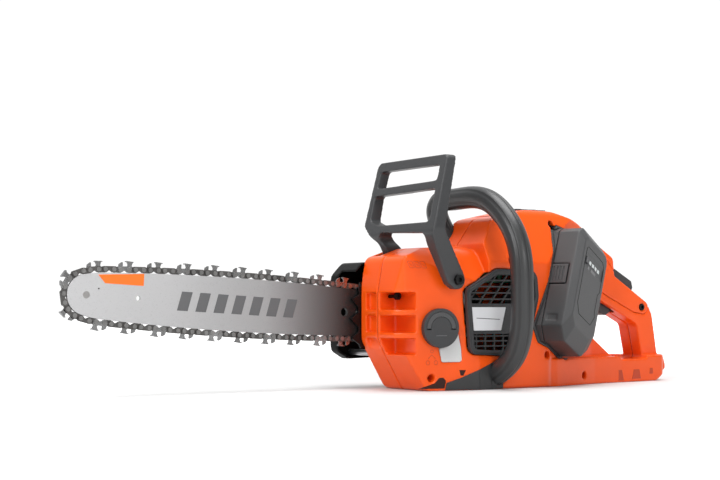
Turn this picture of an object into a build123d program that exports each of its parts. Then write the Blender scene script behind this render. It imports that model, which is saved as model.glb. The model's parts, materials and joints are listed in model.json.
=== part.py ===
from build123d import *
import math
import os

# Cordless chainsaw, built as separate pieces.
# Frame: +X points forwards along the guide bar, +Y to the user's left, +Z up, all in millimetres.
# The origin lies on the ground plane, straight below the drive-shaft axis, on the joint between the two housing halves.

# ---------------------------------------------------------------- driving dimensions
GAP = 0.3                    # running and seam clearance between neighbouring pieces
WALL = 2.6                   # housing wall

SHAFT_Z = 80.0               # drive shaft above the ground
BAR_Y = -38.0                # middle plane of the guide bar and chain
BAR_TILT = 3.2               # the bar rises forwards, degrees

SIDE_PITCH = 9.2             # rivet spacing in a tie strap or cutter
DRIVE_PITCH = 7.31           # rivet spacing in a drive link
DRIVE_LINKS = 60
DRIVE_TEETH = 7
NOSE_TEETH = 9
RAIL_DROP = 3.4              # rivet line above the bar's rail
DRIVE_LINK_T = 1.1
STRAP_T = 1.0
GAUGE_GAP = 0.15             # drive link to groove wall

PLATE_T = 1.2                # one side plate of the laminated bar
GROOVE_DEPTH = 6.6
TAIL_S = 38.0                # bar tail, forward of the drive shaft
STUD_S = (58.0, 80.0)        # bar studs, forward of the drive shaft
STUD_R = 4.0

RIGHT_Y = -34.0              # housing's right wall, outside
COVER_Y = -76.0              # sprocket cover's outer face
GRIP_R = 12.8                # front handle tube
HANDLE_X = -28.0             # plane of the front handle
GRIP_HALF = 16.5             # half width of the rear handle

GUARD_PIVOT = (38.8, 121.8)  # X and Z of the hand guard's pivot
GUARD_LEFT_Y = 62.5          # middle of the guard's left arm
GUARD_RIGHT_Y = -24.0        # middle of the guard's right arm
GUARD_T = 11.0

CAP_AT = (49.5, 47.6, 69.0)  # centre of the oil cap's seat
CAP_YAW = 11.3               # the tank wall turns this far forwards, degrees
CAP_R = 21.5

PACK_AT = (-158.0, 72.0, 114.0)   # battery frame: on the outer face
PACK_YAW = 21.7              # the outer face turns this far backwards, degrees
PACK_TILT = 23.6             # the pack leans backwards in that face, degrees
PACK_W = (-41.0, 35.0)       # front and rear edge
PACK_H = (-78.0, 63.0)       # bottom and top end
PACK_D = 82.0                # depth
BAY_WALL = 2.0
BAY_GAP = 0.8

SCREW_R = 2.0
SCREW_HEAD_R = 4.0


# ---------------------------------------------------------------- helpers
def outline(*corners):
    """A closed face from (a, b, corner radius) triples."""
    line = FilletPolyline(*[(a, b) for a, b, _ in corners], radius=[r for *_, r in corners], close=True)
    return make_face(line.edges())


def across(face, y_low, y_high):
    """A face drawn in X and Z, made solid from y_low to y_high."""
    return extrude(Plane.XZ.offset(-y_high) * face, amount=y_high - y_low)


def upward(face, z_low, z_high):
    """A face drawn in X and Y, made solid from z_low to z_high."""
    return extrude(Plane.XY.offset(z_low) * face, amount=z_high - z_low)


def forward(face, x_low, x_high):
    """A face drawn in Y and Z, made solid from x_low to x_high."""
    return extrude(Plane.YZ.offset(x_low) * face, amount=x_high - x_low)


def block(x, y, z):
    """A box from three (low, high) pairs."""
    size = (x[1] - x[0], y[1] - y[0], z[1] - z[0])
    return Pos((x[0] + x[1]) / 2, (y[0] + y[1]) / 2, (z[0] + z[1]) / 2) * Box(*size)


def rod(radius, x, z, y_low, y_high):
    """A cylinder along Y."""
    return across(Pos(x, z) * Circle(radius), y_low, y_high)


def ring(outer, inner, x, z, y_low, y_high):
    """A tube along Y."""
    return rod(outer, x, z, y_low, y_high) - rod(inner, x, z, y_low, y_high)


def group(shapes):
    """Several separate solids in one piece."""
    solids = [s for shape in shapes for s in shape.solids()]
    return Compound(solids)


PIECES = {}


def piece(name, shape):
    PIECES[name] = shape
    return shape


# ---------------------------------------------------------------- chain route
BAR = Pos(0, BAR_Y, SHAFT_Z) * Rot(0, -BAR_TILT, 0)


def wrap_radius(teeth):
    """Radius on which the rivets lie, where the chain wraps a sprocket."""
    low, high = SIDE_PITCH, 100.0
    for _ in range(60):
        r = (low + high) / 2
        turn = math.asin(SIDE_PITCH / 2 / r) + math.asin(DRIVE_PITCH / 2 / r)
        low, high = (r, high) if turn > math.pi / teeth else (low, r)
    return (low + high) / 2


DRIVE_WRAP_R = wrap_radius(DRIVE_TEETH)
NOSE_WRAP_R = wrap_radius(NOSE_TEETH)
BLEND_R, FLANK_R, TAIL_R = 110.0, 3200.0, 400.0    # shoulder behind the nose, long flank, tail
BLEND_H, FLANK_H, TAIL_H = 164.0, 176.8, 182.4     # headings where those arcs start, degrees


def half_route(centre, drop=0.0):
    """The route's upper half from nose tip to behind the sprocket, as (radius, heading 0, heading 1, start point).

    A radius of None is a straight run whose second value is its length. drop moves the route inwards."""
    def arc(r, h0, h1, p):
        a, b = math.radians(h0), math.radians(h1)
        end = (p[0] + r * (math.sin(b) - math.sin(a)), p[1] - r * (math.cos(b) - math.cos(a)))
        return (r, h0, h1, p), end

    def down_to(last):
        p, parts = (centre + NOSE_WRAP_R - drop, 0.0), []
        headings = (90.0, BLEND_H, FLANK_H, TAIL_H, last)
        for r, h0, h1 in zip((NOSE_WRAP_R, BLEND_R, FLANK_R, TAIL_R), headings, headings[1:]):
            part, p = arc(r - drop, h0, h1, p)
            parts.append(part)
        return parts, p

    def miss(last):
        """How far the straight run from the tail arc passes above the sprocket's circle."""
        _, p = down_to(last)
        h = math.radians(last)
        return p[0] * math.sin(h) - p[1] * math.cos(h) - (DRIVE_WRAP_R - drop)

    low, high = TAIL_H, TAIL_H + 25.0
    for _ in range(60):
        mid = (low + high) / 2
        low, high = (mid, high) if miss(mid) > 0 else (low, mid)
    last = (low + high) / 2
    parts, p = down_to(last)
    h = math.radians(last)
    length = -(p[0] * math.cos(h) + p[1] * math.sin(h))
    parts.append((None, last, length, p))
    p = (p[0] + length * math.cos(h), p[1] + length * math.sin(h))
    parts.append((DRIVE_WRAP_R - drop, last, 270.0, p))
    return parts


def run_length(part):
    r, h0, h1, _ = part
    return h1 if r is None else r * math.radians(h1 - h0)


def point_on(part, d):
    r, h0, _, p = part
    a = math.radians(h0)
    if r is None:
        return (p[0] + d * math.cos(a), p[1] + d * math.sin(a))
    b = a + d / r
    return (p[0] + r * (math.sin(b) - math.sin(a)), p[1] - r * (math.cos(b) - math.cos(a)))


def point_at(parts, d):
    """The point at distance d round the whole loop, whose lower half mirrors the upper one."""
    half = sum(map(run_length, parts))
    d %= 2 * half
    flip = -1 if d > half else 1
    d = 2 * half - d if d > half else d
    for part in parts:
        if d <= run_length(part) or part is parts[-1]:
            s, n = point_on(part, d)
            return s, flip * n
        d -= run_length(part)


def rivets(parts):
    """Rivet points, one chord after another, and by how much the last one misses the first."""
    d, points = 0.0, []
    for i in range(2 * DRIVE_LINKS):
        points.append(point_at(parts, d))
        chord = DRIVE_PITCH if i % 2 == 0 else SIDE_PITCH
        low, high = d + chord * 0.9, d + chord * 1.2
        for _ in range(34):
            mid = (low + high) / 2
            short = math.dist(points[-1], point_at(parts, mid)) < chord
            low, high = (mid, high) if short else (low, mid)
        d = low
    return points, d - 2 * sum(map(run_length, parts))


def nose_centre():
    """Distance from drive shaft to nose sprocket at which the chain closes on itself."""
    loop = DRIVE_LINKS * (SIDE_PITCH + DRIVE_PITCH)
    low, high = loop * 0.4, loop * 0.5
    for _ in range(30):
        mid = (low + high) / 2
        low, high = (mid, high) if rivets(half_route(mid))[1] > 0 else (low, mid)
    return (low + high) / 2


NOSE_S = nose_centre()
RIVETS = rivets(half_route(NOSE_S))[0]


def rail_face(drop):
    """The bar's outline, drop inside the rivet line, cut off at the tail."""
    parts = half_route(NOSE_S, drop)[:-1]
    upper = []
    for part in parts:
        length = run_length(part)
        a, m, b = (point_on(part, length * k) for k in (0, 0.5, 1))
        upper.append(Line(a, b) if part[0] is None else ThreePointArc(a, m, b))
    end = point_on(parts[-1], run_length(parts[-1]))
    lower = [e.mirror(Plane.XZ) for e in upper]
    edges = [*upper, Line(end, (end[0], -end[1])), *lower]
    whole = make_face([e for line in edges for e in line.edges()])
    front = NOSE_S + NOSE_WRAP_R
    tail = outline((TAIL_S, -40, 0), (TAIL_S, 40, 0), (front, 40, 0), (front, -40, 0))
    return whole & tail


# ---------------------------------------------------------------- guide bar
BAR_T = 2 * PLATE_T + DRIVE_LINK_T + 2 * GAUGE_GAP
CORE_T = DRIVE_LINK_T + 2 * GAUGE_GAP
SLOT = (46.0, 104.0)         # adjusting slot in the bar's tail
OIL_HOLE_S = 52.0
TENSION_HOLE_N = 14.0        # tensioner pin hole, beside the slot
TENSION_S = 65.0
NOSE_RIVET_R = 3.7


def bar_openings():
    """Slot, oil and tensioner holes, the hang-up hole and the hole by the bumper."""
    width = STUD_R + 0.2
    mid = (SLOT[0] + SLOT[1]) / 2
    cuts = Pos(mid, 0) * SlotOverall(SLOT[1] - SLOT[0], 2 * width)
    cuts += Pos(TENSION_S, TENSION_HOLE_N) * Circle(3.2)
    cuts += Pos(TENSION_S, -TENSION_HOLE_N) * Circle(3.2)
    cuts += Pos(118, 0) * Circle(4.6)
    cuts += Pos(NOSE_S - 57, 0) * Circle(2.6)
    return cuts


def guide_bar():
    plate = rail_face(RAIL_DROP) - bar_openings()
    nose_cut = Pos(NOSE_S, 0) * Circle(NOSE_RIVET_R)
    grease = Pos(NOSE_S - 13, 7) * Circle(0.9)
    side = plate - nose_cut - grease - Pos(OIL_HOLE_S, 17) * Circle(1.4) - Pos(OIL_HOLE_S, -17) * Circle(1.4)
    half = CORE_T / 2
    plates = [BAR * across(side, half, half + PLATE_T), BAR * across(side, -half - PLATE_T, -half)]
    piece("bar_plates", group(plates))
    core = rail_face(RAIL_DROP + GROOVE_DEPTH) - bar_openings()
    core -= Pos(NOSE_S, 0) * Circle(NOSE_WRAP_R - RAIL_DROP + 0.6)
    piece("bar_core", BAR * across(core, -half, half))


def toothed(teeth, hub_r, root_r, tip_r, tooth_w):
    """A sprocket face: a disc with straight-sided teeth, the first tooth up at 90 degrees."""
    face = Circle(root_r)
    for k in range(teeth):
        tooth = Pos(0, tip_r / 2) * RectangleRounded(tooth_w, tip_r, min(tooth_w * 0.32, 0.9))
        face += Rot(0, 0, 360 / teeth * k) * tooth
    return face - Circle(hub_r)


def tooth_turn(centre_s):
    """Angle of a tooth between two drive links, where the chain wraps a sprocket at (centre_s, 0)."""
    middles = [((RIVETS[i][0] + RIVETS[i + 1][0]) / 2 - centre_s, (RIVETS[i][1] + RIVETS[i + 1][1]) / 2)
               for i in range(1, 2 * DRIVE_LINKS - 1, 2)]
    outward = -1 if centre_s == 0 else 1
    best = max(middles, key=lambda m: outward * m[0])
    return math.degrees(math.atan2(best[1], best[0])) - 90


def nose():
    t = DRIVE_LINK_T / 2 - 0.05
    turn = Rot(0, 0, tooth_turn(NOSE_S))
    wheel = toothed(NOSE_TEETH, 7.6, 14.2, NOSE_WRAP_R - RAIL_DROP + 0.3, 4.2)
    star = across(Pos(NOSE_S, 0) * turn * wheel, -t, t)
    rollers = [rod(1.2, NOSE_S + 6.3 * math.cos(a), 6.3 * math.sin(a), -t, t)
               for a in (2 * math.pi * k / 14 for k in range(14))]
    piece("nose_sprocket", BAR * group([star, *rollers]))
    half = CORE_T / 2 + PLATE_T
    pin = rod(NOSE_RIVET_R, NOSE_S, 0, -half, half) + rod(5.0, NOSE_S, 0, -t, t)
    piece("nose_rivet", BAR * pin)


# ---------------------------------------------------------------- saw chain
HUB_R = 3.3                  # round end of a link
RIVET_R = 1.5


def drive_link_shape():
    h = DRIVE_PITCH / 2
    body = outline((-h - 2.6, -2.6, 1.4), (-h - 2.6, 2.6, 2.4), (h + 2.6, 2.6, 2.4), (h + 2.6, -2.6, 1.4))
    tang = outline((-4.4, -1.0, 0), (4.4, -1.0, 0), (4.0, -4.5, 1.0), (0.9, -8.8, 0.6), (-1.3, -8.8, 0.6),
                   (-3.6, -5.0, 1.0))
    holes = Pos(h, 0) * Circle(RIVET_R) + Pos(-h, 0) * Circle(RIVET_R)
    return across(body + tang - holes, -DRIVE_LINK_T / 2, DRIVE_LINK_T / 2)


def strap_face():
    """Tie strap: two round ends, two feet on the rail, an arch between the feet."""
    h = SIDE_PITCH / 2
    foot = -RAIL_DROP + 0.35
    face = outline((-h - 1.4, foot, 0.8), (-h - 3.2, -0.4, 1.6), (-h - 3.2, 3.1, 2.2), (h + 3.2, 3.1, 2.2),
                   (h + 3.2, -0.4, 1.6), (h + 1.4, foot, 0.8), (h - 1.2, foot, 0.5), (0, -0.7, 0.9),
                   (-h + 1.2, foot, 0.5))
    return face - Pos(h, 0) * Circle(RIVET_R) - Pos(-h, 0) * Circle(RIVET_R)


SIDE_IN = DRIVE_LINK_T / 2 + 0.03


def strap_shape(side):
    """side is -1 on the left of the running chain and 1 on its right."""
    y = sorted((side * SIDE_IN, side * (SIDE_IN + STRAP_T)))
    return across(strap_face(), *y)


def cutter_shape(side):
    """Strap with a depth gauge in front and a cutting tooth behind; the chain runs towards the strap's -X end."""
    h = SIDE_PITCH / 2
    gauge = outline((-h - 3.0, 1.0, 0.5), (-h - 2.2, 5.4, 0.9), (-h + 1.0, 7.4, 0.6), (-h + 2.4, 7.2, 0.4),
                    (-h + 2.2, 1.0, 0.4))
    tooth = outline((h - 3.4, 1.0, 0.4), (h - 1.6, 4.4, 0.5), (h - 3.2, 8.3, 0.3), (h + 4.4, 7.7, 0.5),
                    (h + 3.0, 4.2, 0.8), (h + 3.2, 1.0, 0.8))
    y = sorted((side * SIDE_IN, side * (SIDE_IN + STRAP_T)))
    body = across(strap_face() + gauge + tooth, *y)
    top = outline((h - 3.5, 7.5, 0), (h - 3.1, 8.6, 0), (h + 4.5, 7.9, 0), (h + 4.3, 6.9, 0))
    reach = sorted((side * (SIDE_IN + STRAP_T + 0.9), side * -1.9))
    holes = across(Pos(h, 0) * Circle(RIVET_R) + Pos(-h, 0) * Circle(RIVET_R), *y)
    return body + across(top, *reach) - holes


def link_at(i, j):
    """Place of a link that joins rivets i and j."""
    (s0, n0), (s1, n1) = RIVETS[i], RIVETS[j % len(RIVETS)]
    angle = math.degrees(math.atan2(n1 - n0, s1 - s0))
    return Pos((s0 + s1) / 2, 0, (n0 + n1) / 2) * Rot(0, 180 - angle, 0) * Rot(0, 0, 180)


def chain():
    drive, strap_l, strap_r = drive_link_shape(), strap_shape(-1), strap_shape(1)
    cut_l, cut_r = cutter_shape(-1), cutter_shape(1)
    out = {"chain_drive_links": [], "chain_tie_straps": [], "chain_cutters": [], "chain_rivets": []}
    for k in range(DRIVE_LINKS):
        i = 2 * k
        out["chain_drive_links"].append(link_at(i, i + 1) * drive)
        place = link_at(i + 1, i + 2)
        left = ("chain_cutters", cut_l) if k % 4 == 0 else ("chain_tie_straps", strap_l)
        right = ("chain_cutters", cut_r) if k % 4 == 2 else ("chain_tie_straps", strap_r)
        for name, link in (left, right):
            out[name].append(place * link)
    head = SIDE_IN + STRAP_T
    pin = rod(RIVET_R, 0, 0, -head, head) + rod(2.3, 0, 0, head, head + 0.5) + rod(2.3, 0, 0, -head - 0.5, -head)
    out["chain_rivets"] = [Pos(s, 0, n) * pin for s, n in RIVETS]
    for name, shapes in out.items():
        piece(name, BAR * group(shapes))


# ---------------------------------------------------------------- housing
PACK_TURN = math.radians(PACK_YAW)
PACK_OUT = (-math.sin(PACK_TURN), math.cos(PACK_TURN), 0)
PACK_BACK = (-math.cos(PACK_TURN), -math.sin(PACK_TURN), 0)


def pack_plane():
    """Local x runs backwards and down across the pack, y up its length, z out of the saw."""
    lean = math.radians(PACK_TILT)
    x = (PACK_BACK[0] * math.cos(lean), PACK_BACK[1] * math.cos(lean), -math.sin(lean))
    return Plane(origin=PACK_AT, x_dir=x, z_dir=PACK_OUT)


PACK = pack_plane()
CAP = Plane(origin=CAP_AT, x_dir=(-math.cos(math.radians(CAP_YAW)), math.sin(math.radians(CAP_YAW)), 0),
            z_dir=(math.sin(math.radians(CAP_YAW)), math.cos(math.radians(CAP_YAW)), 0))

SIDE = ((64, 0, 8), (98.5, 56, 30), (100, 100, 20), (91, 147, 10), (58, 158, 10), (-12, 161, 10), (-38, 194, 18),
        (-93, 206, 60), (-135, 206, 40), (-183, 192, 60), (-250, 153, 8), (-252, 131, 4), (-309.5, 98, 16),
        (-318.5, 82.6, 8), (-327.6, 33, 3), (-338, 33, 5), (-344, 15, 6), (-318, 0, 8))
LOOP = ((-205, 111, 10), (-246, 92.3, 20), (-291, 71.5, 9), (-301, 28, 4), (-252, 28, 8), (-205, 62, 12))
PLAN = ((98, RIGHT_Y, 4), (99.5, 30, 8), (91, 39.3, 7), (0, 57.5, 6), (-104, 57.5, 14), (-150, 36, 24),
        (-212, GRIP_HALF, 22), (-346, GRIP_HALF, 5), (-346, -GRIP_HALF, 5), (-215, -GRIP_HALF, 20),
        (-165, RIGHT_Y, 20))
FRONT_END = ((RIGHT_Y, 0, 6), (60, 0, 8), (60, 116, 26), (34, 156, 24), (-8, 164, 10), (RIGHT_Y, 157, 8))
MID_END = ((RIGHT_Y, 0, 6), (60, 0, 8), (60, 138, 22), (27, 208, 16), (-27, 208, 14), (RIGHT_Y, 190, 8))
BASE = ((20, RIGHT_Y, 6), (20, 54.5, 6), (-120, 54.5, 12), (-198, 37, 16), (-250, 30, 12), (-330, 24, 10),
        (-344, 10, 8), (-344, -34, 14), (-330, -46, 14), (-246, -46, 16), (-205, RIGHT_Y, 16))
STEP_X = -14.0               # the taller middle section starts here
BASE_Z = 32.0


def shrunk(corners, d):
    face = outline(*corners)
    return offset(face, amount=-d, kind=Kind.INTERSECTION) if d else face


def hull(d=0.0):
    """The housing's outer volume, moved inwards by d."""
    side = across(shrunk(SIDE, d), -70, 90) & upward(shrunk(PLAN, d), -5, 220)
    ends = forward(shrunk(FRONT_END, d), STEP_X - d, 120) + forward(shrunk(MID_END, d), -360, STEP_X - d)
    low = across(shrunk(SIDE, d), -70, 90) & upward(shrunk(BASE, d), d, BASE_Z - d)
    return (side & ends) + low - across(shrunk(LOOP, -d), -30, 60)


def pack_box(grow, top=90.0):
    """The bay's inside volume when grow is the clearance; it runs out through the left wall."""
    x0, x1 = PACK_W[0] - grow, PACK_W[1] + grow
    y0, y1 = PACK_H[0] - grow, PACK_H[1] + grow
    face = outline((x0 + 14, y0, 0), (x0, y0 + 14, 0), (x0, y1 - 8, 0), (x0 + 8, y1, 0), (x1 - 8, y1, 0),
                   (x1, y1 - 8, 0), (x1, y0 + 14, 0), (x1 - 14, y0, 0))
    return extrude(PACK.offset(-PACK_D - grow) * face, amount=PACK_D + grow + top)


HOUSING_SCREWS = ((-48.5, 143.7, 38.0), (-128.4, 189.4, 24.0), (-102.6, 37.4, 40.0), (-176.0, 11.0, 26.0),
                  (84.0, 104.0, 16.0), (58.0, 14.0, 26.0))      # X, Z and seat of the head


def handle_path():
    points = [(-29.4, 150.0), (-30.5, 161.8), (-37.5, 177.4), (-51.0, 196.3), (-54.0, 208.0), (-47.0, 216.6),
              (-31.3, 218.3), (14.6, 218.3), (40.3, 212.6), (63.6, 198.0), (83.8, 175.4), (94.6, 148.9),
              (97.6, 111.0), (96.0, 66.0), (87.2, 42.5), (68.7, 24.6), (44.6, 13.2), (22.0, 7.5)]
    return Spline(*[(HANDLE_X, y, z) for y, z in points])


def handle_volume(grow=0.0):
    path = handle_path()
    start = Plane(origin=path @ 0, z_dir=path % 0)
    tube = sweep(start * Circle(GRIP_R + grow), path=path)
    foot_face = outline((-28 - GRIP_R - grow, -28 - grow, 6), (-28 - GRIP_R - grow, 50, 4),
                        (-28 + GRIP_R + grow, 56, 10), (8 + grow, 30, 12), (8 + grow, -28 - grow, 6))
    foot = upward(foot_face, -20, 9 + grow)
    ground = block((-80, 60), (-80, 120), (0, 260))
    return (tube + foot) & ground


GRILLE = ((20, 112, 10), (14, 40, 10), (-58, 36, 14), (-78, 70, 16), (-87, 104, 16), (-84, 134, 12), (-24, 135, 20))
WINDOW = ((21, 31.5, 3), (45.5, 31.5, 2), (50, 56, 2), (27, 70, 1), (22, 46, 2))


def tank_zone(d):
    """The oil tank's volume: beside and under the motor, drawn in X and Z, moved inwards by d."""
    side = shrunk(((73, 4, 0), (73, 96, 4), (46, 96, 4), (46, 36, 4), (8, 36, 3), (8, 4, 3)), d)
    by_cap = shrunk(((73, 46, 0), (73, 92, 4), (30, 92, 4), (30, 46, 4)), d)
    zone = (across(side, -14 + d, 60) + across(by_cap, 39.2 + d, 60)) & hull(WALL + 0.4 + d)
    return zone - rod(SCREW_HEAD_R + 3.2 + d, 58, 14, -40, 80)


def screw_shafts(radius, y_low, y_high):
    return [rod(radius, x, z, y_low, y_high) for x, z, _ in HOUSING_SCREWS]


def cut(shape, tools):
    for tool in tools:
        shape = shape - tool
    return shape


def pockets():
    """Three pockets in the front wall and three in the left front corner."""
    out = []
    for z0, z1 in ((89, 108), (64, 83), (40, 58)):
        out.append(block((92, 120), (-28, -2.5), (z0, z1)))
        out.append(block((76, 120), (4, 60), (z0, z1)))
    return out


def pocket_liners(outer):
    """Walls that close the pockets off from the inside."""
    out = []
    for z0, z1 in ((89, 108), (64, 83), (40, 58)):
        out.append(block((89.8, 120), (-30.2, -0.3), (z0 - 2.2, z1 + 2.2)) & outer)
        out.append(block((73.8, 120), (1.8, 60), (z0 - 2.2, z1 + 2.2)) & outer)
    return out


TOP_ZONE = ((-40, 196.5, 0), (-40, 230, 0), (-200, 230, 0), (-205, 178, 0), (-180, 187, 10), (-135, 201, 30),
            (-93, 201, 30))
GRIP_COVER = ((-214, 150, 4), (-214, 118, 6), (-246, 103, 20), (-286, 86, 6), (-306, 83, 8), (-313, 92, 8),
              (-308, 102, 8), (-252, 136, 6), (-240, 150, 6))


def housing():
    outer, inner = hull(), hull(WALL)
    shell = outer - inner
    for liner in pocket_liners(outer):
        shell = shell + liner
    for x, z, seat in HOUSING_SCREWS:
        shell = shell + (rod(SCREW_HEAD_R + 2.6, x, z, -26, 58) & outer)
    shell = cut(shell, pockets())
    for x, z, seat in HOUSING_SCREWS:
        shell = shell - rod(SCREW_HEAD_R + 0.4, x, z, seat, 90) - rod(SCREW_R + 0.1, x, z, -22, 90)
    shell = shell - pack_box(BAY_GAP + BAY_WALL + 0.2)
    shell = shell - handle_volume(GAP) - PIECES["front_handle"]
    shell = shell - across(shrunk(GRILLE, -GAP), 30, 80) - across(shrunk(WINDOW, -GAP), 30, 80)
    shell = shell - extrude(CAP.offset(-12) * Circle(18.4), amount=30)
    shell = shell + (rod(7, *GUARD_PIVOT, 44, 60) & outer)
    shell = shell - rod(GUARD_R + 0.4, *GUARD_PIVOT, GUARD_LEFT_Y - GUARD_T / 2 - 0.6, 90)
    shell = shell - rod(3.0, *GUARD_PIVOT, 40, 90)
    shell = shell - across(guard_slot(), GUARD_RIGHT_Y - GUARD_T / 2 - 0.6, GUARD_RIGHT_Y + GUARD_T / 2 + 0.6)
    shell = shell - rod(13, 0, SHAFT_Z, -60, -20)
    top = across(outline(*TOP_ZONE), -24, 24)
    lid_top = (outer - inner) & across(shrunk(TOP_ZONE, GAP), -24 + GAP, 24 - GAP)
    lid_top = lid_top + (upward(shrunk(KEYPAD, -2.5), 200, 203.2) & inner)
    piece("top_cover", biggest(lid_top - upward(shrunk(KEYPAD, -0.2), 203.3, 220)))
    shell = shell - top
    lid = across(outline(*GRIP_COVER), 6, 40)
    side_cover = (outer - inner) & across(shrunk(GRIP_COVER, GAP), 6 + GAP, 40)
    side_cover = side_cover + (rod(6.5, *GRIP_SCREW, 6 + GAP, 20) & outer)
    piece("grip_side_cover", biggest(cut(side_cover, [
        rod(SCREW_R + 0.1, *GRIP_SCREW, -30, 40), rod(SCREW_HEAD_R + 0.4, *GRIP_SCREW, 13.4, 40)])))
    shell = shell - lid
    grip_post = rod(5, *GRIP_SCREW, -GRIP_HALF + 1, 5.7) - rod(SCREW_R + 0.1, *GRIP_SCREW, -10, 40)
    shell = cut(shell, trigger_cuts())
    pads = BAR * across(outline((47, -18, 3), (47, 18, 3), (86, 18, 3), (86, -18, 3)), 2.2, 5.0)
    pads = cut(pads, [BAR * rod(STUD_R + 0.05, s, 0, -10, 30) for s in STUD_S])
    pads = cut(pads, tension_room())
    right = shell & block((-400, 200), (-80, -GAP / 2), (-5, 260))
    right = right + (block((86, 98), (SPIKE_Y[1] + 0.1, -22), (44, 118)) & outer)
    right = right - across(shrunk(SPIKES, -GAP), -60, SPIKE_Y[1])
    right = right - block((96, 120), (-60, SPIKE_Y[1]), (44, 118))
    right = cut(right, [rod(2.1, *at, -60, -26) for at in SPIKE_BOLTS])
    right = cut(right, [BAR * rod(STUD_R + 0.05, s, 0, -10, 30) for s in STUD_S])
    right = cut(right, tension_room())
    left = shell & block((-400, 200), (GAP / 2, 90), (-5, 260))
    piece("housing_left", biggest(left + (grip_post & block((-400, 0), (GAP / 2, 40), (0, 200)))))
    piece("housing_right", biggest(right + pads + (grip_post & block((-400, 0), (-40, -GAP / 2), (0, 200)))))


def tension_room():
    """Slot for the tensioner's pin, seat for its screw head, and the hole between them."""
    n = TENSION_HOLE_N
    a, b, c, d = TENSION_S - 14, TENSION_S + 11, TENSION_S + 15, TENSION_S + 24
    return [BAR * across(outline((a, n - 4.3, 2), (a, n + 4.3, 2), (b, n + 4.3, 2), (b, n - 4.3, 2)), -10, 10),
            BAR * across(outline((c, n - 4.3, 1), (c, n + 4.3, 1), (d, n + 4.3, 1), (d, n - 4.3, 1)), -10, 9.2),
            BAR * (Pos(TENSION_S + 10, 5.4, n) * Rot(0, 90, 0) * Cylinder(2.05, 30))]


def biggest(shape):
    """Drops offcuts that the cutting left loose."""
    solids = sorted(shape.solids(), key=lambda s: s.volume)
    return solids[-1]


GRIP_SCREW = (-300.0, 92.5)


def housing_screws():
    """Housing screws, the grip cover's screw and the two bolts of the bumper spikes."""
    out = [screw(x, z, seat, -20, seat + 4) for x, z, seat in HOUSING_SCREWS]
    out.append(screw(*GRIP_SCREW, 13.4, -8, 17.2))
    for at in SPIKE_BOLTS:
        out.append(rod(2.1, *at, -26, SPIKE_Y[0]) + rod(3.2, *at, SPIKE_Y[0] - 0.9, SPIKE_Y[0]))
    piece("housing_screws", group(out))


def screw(x, z, seat, tip, top):
    """Socket-head screw along Y, its head at the +Y end."""
    body = rod(SCREW_R, x, z, tip, seat) + rod(SCREW_HEAD_R, x, z, seat, top)
    return body - across(Pos(x, z) * RegularPolygon(2.2, 6), top - 2.4, top + 1)


# ---------------------------------------------------------------- rear handle controls
TRIGGER_PIVOT = (-222.0, 116.0)
LOCKOUT_PIVOT = (-246.0, 131.0)
TRIGGER_FACE = ((-218, 121, 3), (-226, 121, 3), (-262, 100, 3), (-262, 94, 3), (-254, 88, 3), (-244, 82, 5),
                (-236, 85, 4), (-228, 98, 6), (-216, 108, 4))
LOCKOUT_FACE = ((-240, 128, 2), (-246, 124, 2), (-284, 104, 2), (-290, 107, 2), (-295, 117, 2), (-293, 125, 3),
                (-262, 141, 8), (-243, 143.5, 3))


def trigger_cuts():
    return [across(shrunk(TRIGGER_FACE, -0.8), -8.8, 8.8),
            across(outline((-226, 121, 0), (-262, 101, 0), (-262, 86, 0), (-214, 86, 0), (-214, 121, 0)), -8.8, 8.8)
            & hull(),
            across(shrunk(LOCKOUT_FACE, -0.8), -5.8, 5.8)]


def controls():
    trigger = across(outline(*TRIGGER_FACE), -8, 8) - rod(2.05, *TRIGGER_PIVOT, -10, 10)
    piece("trigger", trigger)
    lever = across(outline(*LOCKOUT_FACE), -5, 5) - rod(2.05, *LOCKOUT_PIVOT, -10, 10)
    piece("lockout_lever", lever)
    piece("trigger_switch", block((-240, -226), (-6, 6), (124.5, 131.5)) + rod(1.6, -232, 123.6, -2, 2))


# ---------------------------------------------------------------- front handle and hand guard
GUARD_R = 10.5


def front_handle():
    piece("front_handle", handle_volume())


def guard_slot():
    """Room for the guard's right arm and its swing, in X and Z."""
    x, z = GUARD_PIVOT
    return outline((x - 14, z - 14, 8), (x + 16, z - 14, 8), (97, 170, 4), (84, 190, 4), (34, 190, 4),
                   (x - 14, z + 12, 4))


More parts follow.
